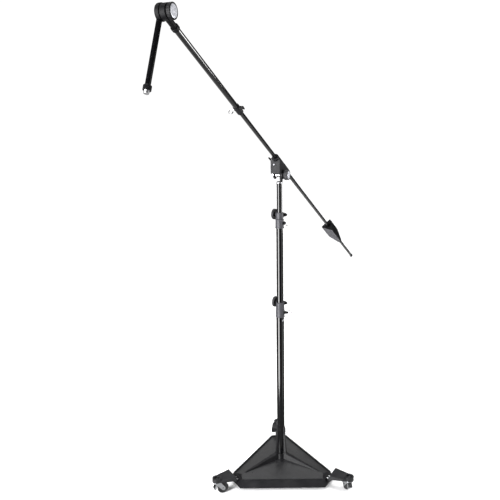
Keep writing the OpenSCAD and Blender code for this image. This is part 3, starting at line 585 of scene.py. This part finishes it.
hook("lower_hook", "lower_cable_hook", "base",
     mast_hook_frame(LOWER_CLAMP_Z) @ rot("X", 165), 26, 8)
hook("upper_hook", "upper_cable_hook", "mast_middle", mast_hook_frame(UPPER_CLAMP_Z), 18, 8)
hook("boom_hook", "boom_cable_hook", "boom_front",
     BOOM @ tr(-JOINT_HOOK_OUT, -JOINT_HOOK_T, 0) @ rot("Z", 180), 17, 8)

# ---------------------------------------------------------------- stage


def stage_floor():
    bpy.ops.mesh.primitive_plane_add(size=60)
    o = bpy.context.object
    o.name = "studio_floor"
    m = Mat("floor_pale", (0.9, 0.9, 0.9), 0.9, spec=0.0)
    m.color(vary(m, (0.9, 0.9, 0.905), 0.006, 0.6))
    o.data.materials.append(m.m)
    o.visible_glossy = False


def area(name, loc, target, sx, sy, radiance):
    """Soft box in metres whose brightness is given as radiance."""
    d = bpy.data.lights.new(name, "AREA")
    d.shape = "RECTANGLE"
    d.size, d.size_y = sx, sy
    d.energy = radiance * math.pi * sx * sy
    o = bpy.data.objects.new(name, d)
    scene.collection.objects.link(o)
    o.location = loc
    o.rotation_euler = (Vector(target) - Vector(loc)).to_track_quat("-Z", "Y").to_euler()


def studio_world():
    """Dim surround for light and reflections; the seamless paper behind reads white."""
    world = bpy.data.worlds.new("studio")
    scene.world = world
    world.use_nodes = True
    t = world.node_tree
    out = t.nodes["World Output"]
    dim = t.nodes["Background"]
    dim.inputs["Color"].default_value = (1, 1, 1, 1)
    tc = t.nodes.new("ShaderNodeTexCoord")
    sep = t.nodes.new("ShaderNodeSeparateXYZ")
    t.links.new(tc.outputs["Generated"], sep.inputs[0])

    def fade(axis, a, b, top):
        mr = t.nodes.new("ShaderNodeMapRange")
        mr.interpolation_type = "SMOOTHSTEP"
        mr.inputs["From Min"].default_value = a
        mr.inputs["From Max"].default_value = b
        mr.inputs["To Max"].default_value = top
        t.links.new(sep.outputs[axis], mr.inputs["Value"])
        return mr.outputs["Result"]

    def combine(op, a, b):
        mt = t.nodes.new("ShaderNodeMath")
        mt.operation = op
        t.links.new(a, mt.inputs[0])
        if isinstance(b, float):
            mt.inputs[1].default_value = b
        else:
            t.links.new(b, mt.inputs[1])
        return mt.outputs[0]

    # A lit floor below, a pale sweep behind, and a dark room round the rest
    pool = fade("Z", -0.30, -0.75, 0.8)
    sweep_wall = combine("MULTIPLY", fade("Y", 0.75, 0.95, 1.3), fade("Z", 0.40, 0.15, 1.0))
    sweep_wall = combine("MULTIPLY", sweep_wall, fade("X", 0.36, 0.14, 1.0))
    t.links.new(combine("ADD", combine("ADD", pool, sweep_wall), 0.07), dim.inputs["Strength"])
    paper = t.nodes.new("ShaderNodeBackground")
    paper.inputs["Color"].default_value = (1, 1, 1, 1)
    paper.inputs["Strength"].default_value = 1.05
    path = t.nodes.new("ShaderNodeLightPath")
    mx = t.nodes.new("ShaderNodeMixShader")
    t.links.new(path.outputs["Is Camera Ray"], mx.inputs[0])
    t.links.new(dim.outputs[0], mx.inputs[1])
    t.links.new(paper.outputs[0], mx.inputs[2])
    t.links.new(mx.outputs[0], out.inputs["Surface"])


def overhead_light():
    light = bpy.data.lights.new("overhead", "SUN")
    light.energy = 3.7
    light.angle = math.radians(60)
    scene.collection.objects.link(bpy.data.objects.new("overhead", light))


stage_floor()
studio_world()
overhead_light()
area("key_left", (-2.55, -2.5, 0.8), (0, 0, 0.8), 2.5, 4.2, 19.0)
area("fill_right", (3.1, -1.2, 0.8), (0, 0, 0.8), 3.2, 4.2, 1.3)
area("rim_right", (2.35, 0.35, 1.25), (-0.3, -0.8, 1.85), 0.45, 1.0, 26.0)

CAMERA_PLACE = Vector((-0.1113, -2.4372, 1.5664))
CAMERA_RIGHT = Vector((0.99986, 0.00440, -0.01639))
CAMERA_AHEAD = Vector((-0.00758, 0.97989, -0.19942))
SENSOR_WIDTH = 36
FOCAL_LENGTH = 40.954


def camera():
    """Camera at the photograph's viewing angle, looking slightly down."""
    cam = bpy.data.objects.new("camera", bpy.data.cameras.new("camera"))
    scene.collection.objects.link(cam)
    ahead = CAMERA_AHEAD.normalized()
    up = CAMERA_RIGHT.normalized().cross(ahead).normalized()
    turn = Matrix((ahead.cross(up), up, -ahead)).transposed()
    cam.matrix_world = Matrix.Translation(CAMERA_PLACE) @ turn.to_4x4()
    cam.data.sensor_width = SENSOR_WIDTH
    cam.data.lens = FOCAL_LENGTH
    cam.data.clip_end = 100
    scene.camera = cam


camera()
scene.view_settings.view_transform = "Standard"
